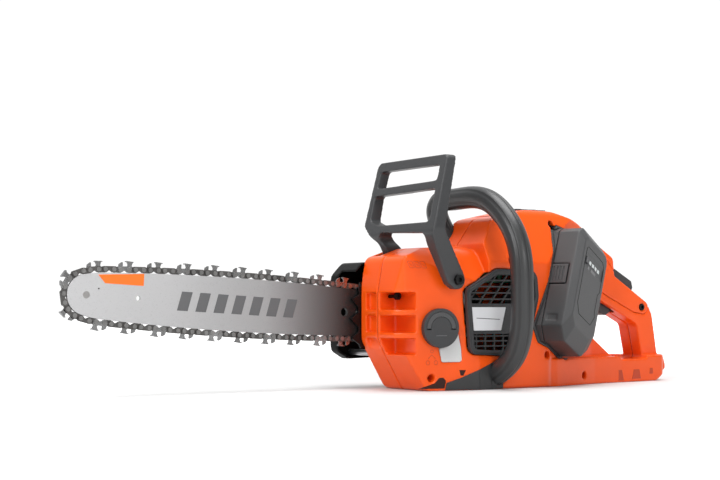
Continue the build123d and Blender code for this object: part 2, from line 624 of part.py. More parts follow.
def hand_guard():
    x, z = GUARD_PIVOT
    side = outline((36.5, 262, 3), (49.5, 262, 4), (80.5, 172, 10), (x + 11, z - 6, 6), (x - 7, z - 9, 8),
                   (x - 10.5, z + 4, 6), (63, 176, 10))
    hub = Circle(GUARD_R)
    band = across(side + Pos(x, z) * hub, -80, 90)
    frame = outline((-64, 259, 7), (64.5, 259, 7), (76.5, 178, 10), (GUARD_LEFT_Y + GUARD_T / 2, 128, 4),
                    (GUARD_LEFT_Y + GUARD_T / 2, 90, 0), (GUARD_LEFT_Y - GUARD_T / 2, 90, 0),
                    (GUARD_LEFT_Y - GUARD_T / 2, 160, 6), (60, 172, 4),
                    (-30, 176, 6), (GUARD_RIGHT_Y + GUARD_T / 2, 160, 6), (GUARD_RIGHT_Y + GUARD_T / 2, 90, 0),
                    (GUARD_RIGHT_Y - GUARD_T / 2, 90, 0), (GUARD_RIGHT_Y - GUARD_T / 2, 164, 6), (-57, 184, 8))
    high = outline((-54, 248, 4), (55, 248, 4), (57.5, 230, 3), (-53, 228, 3))
    low = outline((-52.5, 219, 3), (58.5, 221, 3), (64, 184, 5), (-30, 184, 5), (-48, 190, 5))
    guard = band & forward(frame - high - low, 0, 120)
    guard = guard - rod(3.05, x, z, -60, 90)
    piece("hand_guard", biggest(guard))
    head = GUARD_LEFT_Y + GUARD_T / 2
    bolt = rod(3.0, x, z, 50, head + 0.3) + rod(5.6, x, z, head + 0.3, head + 3.6)
    bolt = bolt - across(Pos(x, z) * RegularPolygon(2.9, 6), head + 1.2, head + 5)
    piece("guard_pivot_bolt", bolt)


def pivot_pins():
    """Pins of the trigger, of the lockout lever and of the guard's right arm."""
    guard_pin = rod(3.0, *GUARD_PIVOT, GUARD_RIGHT_Y - GUARD_T / 2 - 1, GUARD_RIGHT_Y + GUARD_T / 2 + 8)
    piece("pivot_pins", group([rod(2.0, *TRIGGER_PIVOT, -12, 12), rod(2.0, *LOCKOUT_PIVOT, -12, 12), guard_pin]))


def guard_bracket():
    """Carries the pin of the guard's right arm."""
    x, z = GUARD_PIVOT
    inner_end = GUARD_RIGHT_Y + GUARD_T / 2
    post = rod(8, x, z, inner_end + 0.6, inner_end + 12) - rod(3.0, x, z, -60, inner_end + 8)
    return post + block((x - 20, x + 8), (inner_end + 9, inner_end + 12), (z - 8, z + 8))


# ---------------------------------------------------------------- motor on the drive shaft
def motor():
    z = SHAFT_Z
    turn = Rot(0, 0, tooth_turn(0))
    wheel = toothed(DRIVE_TEETH, 3.0, 9.0, 14.9, 4.3)
    gear = BAR * across(turn * wheel, -1.7, 1.7)
    hub = rod(8.2, 0, z, BAR_Y - 4.2, BAR_Y + 4.0)
    piece("drive_sprocket", hub + gear - rod(4.0, 0, z, -60, 0))
    washer = ring(7.5, 4.0, 0, z, BAR_Y - 5.4, BAR_Y - 4.2)
    clip = ring(6.5, 3.2, 0, z, BAR_Y - 6.4, BAR_Y - 5.4)
    piece("sprocket_washer_and_clip", group([washer, clip]))
    shaft = rod(4.0, 0, z, BAR_Y - 5.4, 48) + rod(3.2, 0, z, BAR_Y - 7.6, BAR_Y - 5.4)
    piece("motor_shaft", shaft)
    drum = ring(31, 28.6, 0, z, -29, -17) + ring(29.4, 4.0, 0, z, -19.4, -17)
    for k in range(6):
        a = math.pi / 3 * k
        drum = drum - rod(4.2, 17 * math.cos(a), z + 17 * math.sin(a), -30, -10)
    piece("brake_drum", drum)
    band = ring(33.2, 31.6, 0, z, -28, -19) - block((-45, -20), (-30, -10), (z - 6, z + 6))
    piece("brake_band_and_spring", group([band, brake_spring()]))
    plate = ring(39, 4.6, 0, z, -15.6, -12.6)
    plate = plate - rod(11.0, 0, z, -20, 0)
    plate = plate + ring(13.4, 11.0, 0, z, -12.6, -7)
    bearings = [ring(11.0, 4.05, 0, z, -15.6, -7.6), ring(11.0, 4.05, 0, z, 40, 46.5)]
    piece("motor_bearings", group(bearings))
    stator = ring(37.6, 21.2, 0, z, -4, 20)
    slots = [Rot(0, 0, 0) * across(Rot(0, 0, 30 * k + 15) * Pos(27.4, 0) * RectangleRounded(9.6, 6.2, 1.2), -5, 21)
             for k in range(12)]
    stator = cut(stator, [Pos(0, 0, z) * s for s in slots])
    piece("motor_stator", stator)
    coil = []
    for k in range(12):
        a = Rot(0, 0, 30 * k)
        loop = a * Pos(27.4, 0) * RectangleRounded(8.6, 8.6, 1.2)
        coil.append(Pos(0, 0, z) * (across(loop, 20.2, 23.6) + across(loop, -6.6, -4.2)))
    piece("motor_windings", group(coil))
    rotor = ring(17.6, 4.0, 0, z, -3, 19)
    magnets = []
    for k in range(10):
        wedge = Rot(0, 0, 36 * k) * Pos(19.0, 0) * Rectangle(6, 9.6)
        magnets.append(Pos(0, 0, z) * across(wedge & (Circle(20.7) - Circle(17.6)), -3, 19))
    piece("motor_rotor", group([rotor, *magnets]))
    fan = ring(9, 4.0, 0, z, 26, 38) + ring(34, 8, 0, z, 26, 27.8)
    for k in range(11):
        blade = Rot(0, 0, 360 / 11 * k) * Pos(21, 0) * Rot(0, 0, 24) * Rectangle(25, 1.6)
        fan = fan + Pos(0, 0, z) * across(blade & Circle(34), 27.6, 37.4)
    piece("cooling_fan", fan)
    brace = ring(14, 11.0, 0, z, 40, 46)
    for k in range(3):
        arm = Rot(0, 0, 120 * k + 60) * Pos(26, 0) * Rectangle(26, 7)
        brace = brace + Pos(0, 0, z) * across(arm, 42, 45)
    piece("inner_brackets", group([plate, brace, guard_bracket()]))


SPRING_AT = (-44.0, -23.0, 89.0)   # middle of the brake spring's lowest turn
SPRING_R = (2.5, 3.9)        # inside and outside of a turn
SPRING_WIRE = 1.3
SPRING_PITCH = 2.6
SPRING_TURNS = 8


def brake_spring():
    """The spring that pulls the band tight, as level turns of square wire joined by short steps."""
    x, y, z = SPRING_AT
    mid = sum(SPRING_R) / 2
    turn = Cylinder(SPRING_R[1], SPRING_WIRE) - Cylinder(SPRING_R[0], 2 * SPRING_WIRE)
    spring = Pos(x, y, z) * turn
    for k in range(1, SPRING_TURNS):
        side = mid if k % 2 else -mid
        step = Pos(x + side, y, z + SPRING_PITCH * (k - 0.5)) * Box(0.9, 0.9, SPRING_PITCH)
        spring = spring + step + Pos(x, y, z + SPRING_PITCH * k) * turn
    return spring


def brake_link():
    """Link that frees the brake spring when the guard swings forwards."""
    link = outline((-50, 110, 2), (-50, 116, 2), (4, 126, 2), (18, 126, 2), (18, 119, 2), (4, 119, 2), (-38, 110, 2))
    piece("brake_link", across(link, -21.5, -18.5) & block((-60, 20), (-22, -18), (100, 130)))


# ---------------------------------------------------------------- oiling
def oil_system():
    tank = tank_zone(0) - tank_zone(2.0)
    neck = extrude(CAP.offset(-4) * (Circle(17.6) - Circle(15.3)), amount=4)
    bore = extrude(CAP.offset(-6) * Circle(15.3), amount=40)
    tank = tank - bore + neck
    pad = across(shrunk(WINDOW, 0), 40, 70) & (hull(0.6) - hull(2.7))
    tank = tank - extrude(CAP.offset(0.2) * Circle(30), amount=20)
    pad = pad - extrude(CAP.offset(-15) * Circle(22.5), amount=40)
    piece("oil_tank", biggest(tank))
    piece("oil_level_window", biggest(pad))
    cap = extrude(CAP.offset(0.6) * Circle(CAP_R), amount=6.5)
    plug = extrude(CAP.offset(-5) * (Circle(15.2) - Circle(12.6)), amount=5.8)
    well = extrude(CAP.offset(2.0) * (flap_face(0.4) + Pos(0, -0.6) * well_ends()), amount=9)
    piece("tank_cap", cap + plug - well - group(flap_pins(1.05, 17.0, 19.5)))
    flap = extrude(CAP.offset(3.9) * flap_face(0), amount=3.2)
    for pin in flap_pins(1.0, 16.6, 19.2):
        flap = flap + pin
    piece("tank_cap_flap", flap)
    piece("tank_cap_seal", extrude(CAP.offset(0.2) * (Circle(19.4) - Circle(17.7)), amount=0.4))
    pump = rod(7.5, 22, 40, -31.2, -17) - rod(2.0, 22, 40, -40, -25)
    hose = Spline((34, -14.3, 20), (33, -19, 20.5), (27, -22.5, 25), (23, -23.5, 32))
    tube = sweep(Plane(hose @ 0, z_dir=hose % 0) * (Circle(2.2) - Circle(1.4)), path=hose)
    piece("oil_pump_and_hose", group([pump, biggest(tube - rod(7.6, 22, 40, -40, 0))]))


FLAP_HINGE = (2.0, 5.5)      # height across the cap, and distance out of it


def flap_pins(radius, x_low, x_high):
    """The two hinge pins of the cap's flap, or with more radius their holes."""
    out = []
    for start in (x_low, -x_high):
        at = CAP.from_local_coords((start, *FLAP_HINGE))
        out.append(extrude(Plane(origin=at, x_dir=CAP.z_dir, z_dir=CAP.x_dir) * Circle(radius), amount=x_high - x_low))
    return out


def well_ends():
    """Room below the flap's two hinge ends."""
    return Pos(-15.1, -0.1) * Rectangle(5.8, 2.2) + Pos(15.1, -0.1) * Rectangle(5.8, 2.2)


def flap_face(grow):
    """Arched grip of the cap, folded flat over its upper half."""
    big = Circle(17.6 + grow) & (Pos(0, 14.5 - grow) * Rectangle(60, 30))
    small = Circle(12.6 - grow) + Pos(0, -10) * Rectangle(2 * (12.6 - grow), 20)
    return big - small


# ---------------------------------------------------------------- cover, studs and tensioner
COVER = ((-30, 52, 20), (-34, 118, 22), (0, 139, 16), (94, 143, 8), (110, 127, 8), (110, 42, 8), (94, 33, 8),
         (0, 36, 16))


def sprocket_cover():
    wall = 2.4
    body = across(outline(*COVER), COVER_Y, RIGHT_Y - GAP)
    body = body - across(shrunk(COVER, wall), COVER_Y + wall, RIGHT_Y)
    body = body - block((60, 130), (-62, RIGHT_Y), (20, 132)) - block((103, 130), (-62, RIGHT_Y), (20, 160))
    for s in STUD_S:
        body = body + BAR * rod(10.5, s, 0, COVER_Y - BAR_Y + 6, -2.25)
    for s in STUD_S:
        body = body - BAR * rod(STUD_R + 0.3, s, 0, -60, 0) - BAR * rod(9.6, s, 0, -60, -26)
    body = body - BAR * rod(3.4, TENSION_S + 3, -24, -60, 0)
    piece("sprocket_cover", biggest(body))
    nuts = [BAR * (across(Pos(s, 0) * RegularPolygon(7.4, 6) - Pos(s, 0) * Circle(STUD_R), -34, -26) +
                   ring(9, STUD_R, s, 0, -26, -24.6)) for s in STUD_S]
    studs = [BAR * rod(STUD_R, s, 0, -33, 7) for s in STUD_S]
    piece("bar_studs_and_nuts", group(nuts + studs))


def tensioner():
    n = TENSION_HOLE_N
    pin = BAR * (rod(3.1, TENSION_S, n, -1.8, 2.2) + across(
        outline((TENSION_S - 4, n - 3.9, 1), (TENSION_S - 4, n + 3.9, 1), (TENSION_S + 4, n + 3.9, 1),
                (TENSION_S + 4, n - 3.9, 1)), 2.2, 8.4))
    hole = BAR * (Pos(0, 5.4, n) * Rot(0, 90, 0) * Cylinder(2.05, 200))
    piece("tension_pin", pin - hole)
    bolt = BAR * (Pos(TENSION_S + 2, 5.4, n) * Rot(0, 90, 0) * Cylinder(2.0, 28))
    piece("tension_screw", bolt + BAR * (Pos(TENSION_S + 17.2, 5.4, n) * Rot(0, 90, 0) * Cylinder(3.2, 3)))


SPIKES = ((88, 46, 3), (88, 112, 3), (101, 116, 2), (100, 106, 1), (110, 101, 1), (101, 92, 2), (101, 86, 2),
          (112, 79, 1), (101, 70, 2), (101, 64, 2), (110, 57, 1), (99.5, 50, 1), (98, 46, 2))
SPIKE_Y = (-34.9, -32.3)
SPIKE_BOLTS = ((93.5, 68.0), (93.5, 98.0))


def front_fittings():
    spikes = across(outline(*SPIKES), SPIKE_Y[0], SPIKE_Y[1])
    spikes = cut(spikes, [rod(2.2, *at, -60, 0) for at in SPIKE_BOLTS])
    piece("bumper_spikes", spikes)
    catcher = rod(3.6, 84, 40.6, COVER_Y + 4, RIGHT_Y - 0.3) - rod(1.6, 84, 40.6, -100, 0)
    piece("chain_catcher", catcher)


# ---------------------------------------------------------------- grille and nameplate
PLATE = ((12.5, 92, 1), (9.5, 66, 1), (-30, 66, 1), (-37, 92, 1))


def grille():
    outer = outline(*GRILLE)
    frame = across(outer, 55.2, 60.4) - across(shrunk(GRILLE, 5.5), 50, 70)
    frame = frame - across(outer - shrunk(GRILLE, 2.2), 59.6, 61)
    panel = across(outer & outline((30, 96, 0), (30, 62, 0), (-120, 62, 0), (-120, 96, 0)), 55.2, 59.4)
    bars = []
    inner = shrunk(GRILLE, 4.0)
    for k in range(5):
        bars.append(across(inner & Pos(-40, 101 + 7 * k) * Rectangle(140, 1.8), 55.2, 58.6))
    for k in range(6):
        strip = Pos(-78 + 16 * k, 114) * Rot(0, 0, -52) * Rectangle(70, 1.8)
        zone = outline((40, 95, 0), (40, 150, 0), (-120, 150, 0), (-120, 95, 0))
        bars.append(across(inner & (zone & strip), 54.6, 57.6))
    for k in range(4):
        bars.append(across(inner & Pos(-40, 43 + 5.6 * k) * Rectangle(140, 1.7), 55.2, 58.6))
    for k in range(5):
        zone = outline((40, 62.5, 0), (40, 30, 0), (-120, 30, 0), (-120, 62.5, 0))
        bars.append(across(inner & (zone & Pos(4 - 13 * k, 50) * Rectangle(2.2, 40)), 54.6, 57.6))
    body = frame + panel
    for bar in bars:
        body = body + bar
    body = body - across(shrunk(PLATE, -0.2), 58.4, 62)
    piece("air_grille", biggest(body))
    piece("nameplate", across(outline(*PLATE), 58.4, 59.8))


# ---------------------------------------------------------------- battery
def battery():
    x0, x1, y0, y1 = *PACK_W, *PACK_H
    face = outline((x0 + 14, y0, 0), (x0, y0 + 14, 0), (x0, y1 - 8, 0), (x0 + 8, y1, 0), (x1 - 8, y1, 0),
                   (x1, y1 - 8, 0), (x1, y0 + 14, 0), (x1 - 14, y0, 0))
    front = outline((x0 + 16, y0 + 20, 0), (x0 + 5, y0 + 31, 0), (x0 + 5, y1 - 17, 0), (x0 + 11, y1 - 11, 0),
                    (x1 - 11, y1 - 11, 0), (x1 - 5, y1 - 17, 0), (x1 - 5, y0 + 31, 0), (x1 - 16, y0 + 20, 0))
    split = -34.0
    body = extrude(PACK.offset(split) * face, amount=-split - 8)
    body = body + loft([PACK.offset(-8.01) * face, PACK * front], ruled=True)
    hollow = shrunk_face(face, 2.2)
    outer_shell = body - extrude(PACK.offset(split - 1) * hollow, amount=-split + 1 - 9.5)
    outer_shell = outer_shell - extrude(PACK.offset(-10) * shrunk_face(front, 3), amount=6)
    inner_shell = extrude(PACK.offset(-PACK_D) * face, amount=PACK_D + split - GAP)
    inner_shell = inner_shell - extrude(PACK.offset(-PACK_D + 2.4) * hollow, amount=PACK_D)
    notches = [pack_block((x0 - 1, x0 + 3.8), (-12, 14), (-40, -13)),
               pack_block((x1 - 3.8, x1 + 1), (-22, 4), (-40, -13))]
    outer_shell = cut(outer_shell, notches)
    inner_shell = cut(inner_shell, [notches[0], notches[1]])
    walls = [pack_block((x0, x0 + 5.2), (-14, 16), (-33.9, -11)) & body,
             pack_block((x1 - 5.2, x1), (-24, 6), (-33.9, -11)) & body]
    for wall, notch in zip(walls, notches):
        outer_shell = outer_shell + (wall - notch)
    slot = pack_block((x0 - 1, x0 + 1.0), (-58, -50), (-30, -16))
    outer_shell = outer_shell - slot - pack_block((x0 + 12, x1 - 12), (18, 34), (-0.8, 2))
    outer_shell = outer_shell - pack_block((-26.4, -18.6), (22.1, 29.9), (-2.4, 2))
    connector = pack_block((-12, 16), (-60, -46), (-PACK_D - 1, -PACK_D + 5))
    inner_shell = inner_shell - connector
    piece("battery_case_outer", biggest(outer_shell))
    piece("battery_case_inner", biggest(inner_shell))
    latches = []
    front_latch = pack_block((x0 - 0.4, x0 + 2.0), (-11, 13), (-39, -14))
    for k in range(5):
        front_latch = front_latch - pack_block((x0 - 1, x0 + 0.5), (-8, 10), (-35.8 + 4 * k, -34 + 4 * k))
    rear_latch = pack_block((x1 - 2.0, x1 + 0.4), (-21, 3), (-39, -14))
    for k in range(5):
        rear_latch = rear_latch - pack_block((x1 - 0.5, x1 + 1), (-17.6 + 4 * k, -16 + 4 * k), (-37, -16))
    piece("battery_latch_front", front_latch)
    piece("battery_latch_rear", rear_latch)
    cells = []
    for row in range(7):
        for col in range(3 if row else 2):
            x = -3.0 + (col - 1) * 18.9 + (4.5 if row % 2 else -4.5) if row else -12.5 + 19 * col
            cells.append(PACK * Pos(x, -66 + 16.6 * row, -43.1) * Cylinder(9.1, 65))
    piece("battery_cells", group(cells))
    lights = [pack_block((-24 + 8 * k, -19 + 8 * k), (24, 28), (-0.75, -0.25)) for k in range(5)]
    piece("charge_lights", group(lights[1:]))
    piece("charge_button", pack_block((-26, -19), (22.5, 29.5), (-1.4, 0.5)))
    pins = [pack_block((-9 + 6 * k, -7 + 6 * k), (-58, -48), (-PACK_D + 0.5, -PACK_D + 5)) for k in range(4)]
    piece("battery_board", group([pack_block((-28, 22), (-50, 40), (-8.6, -7.0)), *pins]))


def shrunk_face(face, d):
    return offset(face, amount=-d, kind=Kind.INTERSECTION)


def pack_block(x, y, z):
    """A box in the battery's frame."""
    return extrude(PACK.offset(z[0]) * (Pos((x[0] + x[1]) / 2, (y[0] + y[1]) / 2) *
                                        Rectangle(x[1] - x[0], y[1] - y[0])), amount=z[1] - z[0])


def battery_bay():
    bay = (pack_box(BAY_GAP + BAY_WALL) & hull()) - pack_box(BAY_GAP)
    bay = bay - handle_volume(GAP)
    for x, z, seat in HOUSING_SCREWS:
        bay = bay - rod(SCREW_HEAD_R + 2.8, x, z, -30, 90)
    piece("battery_bay", biggest(bay))


# ---------------------------------------------------------------- keypad and controller
KEYPAD = ((-92, -15, 4), (-92, 15, 4), (-140, 15, 4), (-140, -15, 4))


def electronics():
    """Controller board with its transistors and capacitors, its contact blades in the battery bay, and its heat sink."""
    board = block((-78, -12), (-14, 24), (120.4, 122))
    blades = [pack_block((-8.6 + 6 * k, -7.4 + 6 * k), (-57, -49), (-PACK_D - BAY_GAP, -PACK_D - 0.2))
              for k in range(4)]
    chips = [block((-72 + 16 * k, -62 + 16 * k), (-12, -3), (122, 125)) for k in range(4)]
    caps = [Pos(-68 + 20 * k, 10, 122 + 5) * Cylinder(5, 10) for k in range(3)]
    piece("controller", group([board, *chips, *caps, *blades]))
    fins = block((-76, -12), (-13, -2), (125, 127))
    for k in range(9):
        fins = fins + block((-75.4 + 7.6 * k, -74 + 7.6 * k), (-13, -2), (127, 134))
    piece("heat_sink", fins)


def keypad():
    plate = upward(outline(*KEYPAD), 203.4, 207.6)
    for x in (-104, -127):
        plate = plate - Pos(x, 0, 210) * Cylinder(7.3, 10)
    piece("keypad_frame", plate)
    piece("power_button", Pos(-104, 0, 207.4) * Cylinder(7.0, 2.4))
    piece("mode_button", Pos(-127, 0, 207.4) * Cylinder(7.0, 2.4))


guide_bar()
nose()
chain()
motor()
brake_link()
oil_system()
sprocket_cover()
tensioner()
front_fittings()
front_handle()
housing()
housing_screws()
controls()
hand_guard()
pivot_pins()
grille()
battery()
battery_bay()
electronics()
keypad()

os.makedirs("parts", exist_ok=True)
for name, shape in PIECES.items():
    export_step(shape, f"parts/{name}.step")
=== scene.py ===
import bmesh
import bpy
import json
import math
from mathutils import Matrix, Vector


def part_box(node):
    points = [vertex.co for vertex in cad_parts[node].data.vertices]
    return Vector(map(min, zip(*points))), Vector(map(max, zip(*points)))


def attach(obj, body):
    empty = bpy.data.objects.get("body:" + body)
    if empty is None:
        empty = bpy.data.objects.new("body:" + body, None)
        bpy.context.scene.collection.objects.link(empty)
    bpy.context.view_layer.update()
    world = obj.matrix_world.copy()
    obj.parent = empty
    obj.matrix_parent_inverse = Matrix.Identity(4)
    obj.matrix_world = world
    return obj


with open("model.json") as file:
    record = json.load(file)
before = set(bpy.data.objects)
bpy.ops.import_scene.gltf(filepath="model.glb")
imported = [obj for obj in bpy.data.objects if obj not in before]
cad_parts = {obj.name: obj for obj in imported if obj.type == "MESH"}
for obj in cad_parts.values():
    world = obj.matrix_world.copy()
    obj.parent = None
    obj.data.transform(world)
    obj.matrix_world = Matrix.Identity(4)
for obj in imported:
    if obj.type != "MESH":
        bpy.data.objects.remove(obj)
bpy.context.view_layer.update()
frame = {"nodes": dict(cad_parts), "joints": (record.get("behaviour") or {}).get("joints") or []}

# ------------------------------------------------------------------ materials


def new_mat(name):
    mat = bpy.data.materials.new(name)
    mat.use_nodes = True
    tree = mat.node_tree
    tree.nodes.clear()
    out = tree.nodes.new("ShaderNodeOutputMaterial")
    bsdf = tree.nodes.new("ShaderNodeBsdfPrincipled")
    tree.links.new(bsdf.outputs[0], out.inputs[0])
    return mat, tree, bsdf


def coords(tree, scale=(1, 1, 1)):
    tc = tree.nodes.new("ShaderNodeTexCoord")
    mp = tree.nodes.new("ShaderNodeMapping")
    mp.inputs["Scale"].default_value = scale
    tree.links.new(tc.outputs["Object"], mp.inputs["Vector"])
    return mp.outputs["Vector"]


def noise(tree, vec, scale, detail=4.0, rough=0.55):
    n = tree.nodes.new("ShaderNodeTexNoise")
    n.inputs["Scale"].default_value = scale
    n.inputs["Detail"].default_value = detail
    n.inputs["Roughness"].default_value = rough
    tree.links.new(vec, n.inputs["Vector"])
    return n.outputs["Fac"]


def ramp(tree, fac, a, b, lo=0.0, hi=1.0):
    r = tree.nodes.new("ShaderNodeValToRGB")
    r.color_ramp.elements[0].position = lo
    r.color_ramp.elements[1].position = hi
    r.color_ramp.elements[0].color = (*a, 1)
    r.color_ramp.elements[1].color = (*b, 1)
    tree.links.new(fac, r.inputs["Fac"])
    return r.outputs["Color"]


def span(tree, fac, lo, hi):
    m = tree.nodes.new("ShaderNodeMapRange")
    m.inputs["To Min"].default_value = lo
    m.inputs["To Max"].default_value = hi
    tree.links.new(fac, m.inputs["Value"])
    return m.outputs["Result"]


def bump(tree, height, strength, distance, bsdf, edge=0.0):
    b = tree.nodes.new("ShaderNodeBump")
    b.inputs["Strength"].default_value = strength
    b.inputs["Distance"].default_value = distance
    tree.links.new(height, b.inputs["Height"])
    if edge:
        e = tree.nodes.new("ShaderNodeBevel")
        e.samples = 4
        e.inputs["Radius"].default_value = edge
        tree.links.new(e.outputs["Normal"], b.inputs["Normal"])
    tree.links.new(b.outputs["Normal"], bsdf.inputs["Normal"])


def distance_from(tree, axis, centre):
    """Distance from the plane where one coordinate is centre, in metres."""
    tc = tree.nodes.new("ShaderNodeTexCoord")
    parts = tree.nodes.new("ShaderNodeSeparateXYZ")
    tree.links.new(tc.outputs["Object"], parts.inputs[0])
    less = tree.nodes.new("ShaderNodeMath")
    less.operation = "SUBTRACT"
    less.inputs[1].default_value = centre
    tree.links.new(parts.outputs[axis], less.inputs[0])
    size = tree.nodes.new("ShaderNodeMath")
    size.operation = "ABSOLUTE"
    tree.links.new(less.outputs[0], size.inputs[0])
    return size.outputs[0]


def step(tree, value, lo, hi, to_lo=0.0, to_hi=1.0):
    """A smooth step from to_lo to to_hi as value goes from lo to hi."""
    m = tree.nodes.new("ShaderNodeMapRange")
    m.interpolation_type = "SMOOTHSTEP"
    m.inputs["From Min"].default_value = lo
    m.inputs["From Max"].default_value = hi
    m.inputs["To Min"].default_value = to_lo
    m.inputs["To Max"].default_value = to_hi
    tree.links.new(value, m.inputs["Value"])
    return m.outputs["Result"]


def tint(tree, bsdf, mask, colour):
    """Blends the base colour towards colour where mask is 0."""
    old = bsdf.inputs["Base Color"].links[0].from_socket
    mix = tree.nodes.new("ShaderNodeMix")
    mix.data_type = "RGBA"
    tree.links.new(mask, mix.inputs["Factor"])
    mix.inputs[6].default_value = (*colour, 1)
    tree.links.new(old, mix.inputs[7])
    tree.links.new(mix.outputs[2], bsdf.inputs["Base Color"])


def plastic(name, base, rough, grain=0.15, grain_scale=2200, vary=0.05, coat=0.0, edge=0.0006, spec=0.5):
    mat, tree, bsdf = new_mat(name)
    vec = coords(tree)
    soft = noise(tree, vec, 18, 3)
    fine = noise(tree, vec, grain_scale, 2)
    dark = tuple(c * (1 - vary) for c in base)
    light = tuple(min(1, c * (1 + vary)) for c in base)
    tree.links.new(ramp(tree, soft, dark, light, 0.3, 0.7), bsdf.inputs["Base Color"])
    tree.links.new(span(tree, soft, rough - 0.04, rough + 0.05), bsdf.inputs["Roughness"])
    bsdf.inputs["Specular IOR Level"].default_value = spec
    if coat:
        bsdf.inputs["Coat Weight"].default_value = coat
        bsdf.inputs["Coat Roughness"].default_value = 0.22
    bump(tree, fine, grain, 0.0002, bsdf, edge)
    return mat


def metal(name, base, rough, stretch=(1, 1, 1), scale=400, vary=0.12, edge=0.0003, strength=0.12):
    mat, tree, bsdf = new_mat(name)
    vec = coords(tree, stretch)
    lines = noise(tree, vec, scale, 6, 0.6)
    blotch = noise(tree, coords(tree), 30, 4)
    dark = tuple(c * (1 - vary) for c in base)
    tree.links.new(ramp(tree, blotch, dark, base, 0.3, 0.7), bsdf.inputs["Base Color"])
    bsdf.inputs["Metallic"].default_value = 1.0
    tree.links.new(span(tree, lines, rough - 0.08, rough + 0.1), bsdf.inputs["Roughness"])
    bump(tree, lines, strength, 0.0002, bsdf, edge)
    return mat


SEAM_HALF = 0.00028                                        # half width of the dark joint between the halves
GRIP_RADIUS = 0.0128                                       # of the front handle's tube
GRIP_MID_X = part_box("front_handle")[0].x + GRIP_RADIUS
GROOVES = (0.0105, 0.0010)                                 # the grip's grooves, forward of its middle


def seamed_orange():
    """Housing plastic, with the joint line between the two halves."""
    mat = plastic("orange_plastic", (0.88, 0.092, 0.004), 0.30, grain=0.05, coat=0.08, edge=0.0012, spec=0.32)
    tree = mat.node_tree
    bsdf = next(n for n in tree.nodes if n.type == "BSDF_PRINCIPLED")
    line = step(tree, distance_from(tree, "Y", 0.0), SEAM_HALF, SEAM_HALF * 2)
    tint(tree, bsdf, line, (0.05, 0.006, 0.001))
    return mat


def grooved_grip():
    """Front handle plastic, with two grooves along the tube whose colour is darker, a painted shade."""
    mat, tree, bsdf = new_mat("grip_plastic")
    vec = coords(tree)
    soft = noise(tree, vec, 14, 3)
    tree.links.new(ramp(tree, soft, (0.026, 0.027, 0.028), (0.032, 0.033, 0.034), 0.3, 0.7),
                   bsdf.inputs["Base Color"])
    tree.links.new(span(tree, soft, 0.34, 0.42), bsdf.inputs["Roughness"])
    one, two = (step(tree, distance_from(tree, "X", GRIP_MID_X + place), 0.0003, 0.0016) for place in GROOVES)
    grooves_and_shade = tree.nodes.new("ShaderNodeMath")
    grooves_and_shade.operation = "MULTIPLY"
    tree.links.new(one, grooves_and_shade.inputs[0])
    tree.links.new(two, grooves_and_shade.inputs[1])
    # the grooves' darker colour is painted shade; the bump cuts the grooves themselves
    tint(tree, bsdf, grooves_and_shade.outputs[0], (0.016, 0.016, 0.017))
    bump(tree, grooves_and_shade.outputs[0], 0.6, 0.0008, bsdf)
    return mat


def ground_bar():
    """Ground steel with fine scratches along the bar; its colour darkens towards the body, a painted shade
    and painted reflection of the dark body.
    """
    mat, tree, bsdf = new_mat("bar_steel")
    lines = noise(tree, coords(tree, (1, 60, 60)), 50, 6, 0.6)
    speck = noise(tree, coords(tree), 900, 3)
    along = distance_from(tree, "X", 0.0)
    steel_and_shade_ramp = tree.nodes.new("ShaderNodeValToRGB")
    # grey along the bar, falling towards the body: painted shade and painted reflection of the dark body
    steel_and_shade_stops = ((0.0, 0.012), (0.11, 0.016), (0.16, 0.16), (0.22, 0.37), (0.34, 0.50), (0.45, 0.53))
    ends = steel_and_shade_ramp.color_ramp.elements
    ends[0].position, ends[1].position = steel_and_shade_stops[0][0], steel_and_shade_stops[-1][0]
    for place, _ in steel_and_shade_stops[1:-1]:
        ends.new(place)
    for stop, (place, grey) in zip(ends, steel_and_shade_stops):
        stop.color = (grey, grey, grey * 1.01, 1)
    tree.links.new(along, steel_and_shade_ramp.inputs["Fac"])
    tree.links.new(steel_and_shade_ramp.outputs["Color"], bsdf.inputs["Base Color"])
    tint(tree, bsdf, step(tree, speck, 0.30, 0.42, 0.82, 1.0), (0.12, 0.12, 0.12))
    bsdf.inputs["Metallic"].default_value = 0.55
    tree.links.new(span(tree, lines, 0.38, 0.55), bsdf.inputs["Roughness"])
    bump(tree, lines, 0.10, 0.0002, bsdf, 0.0003)
    return mat


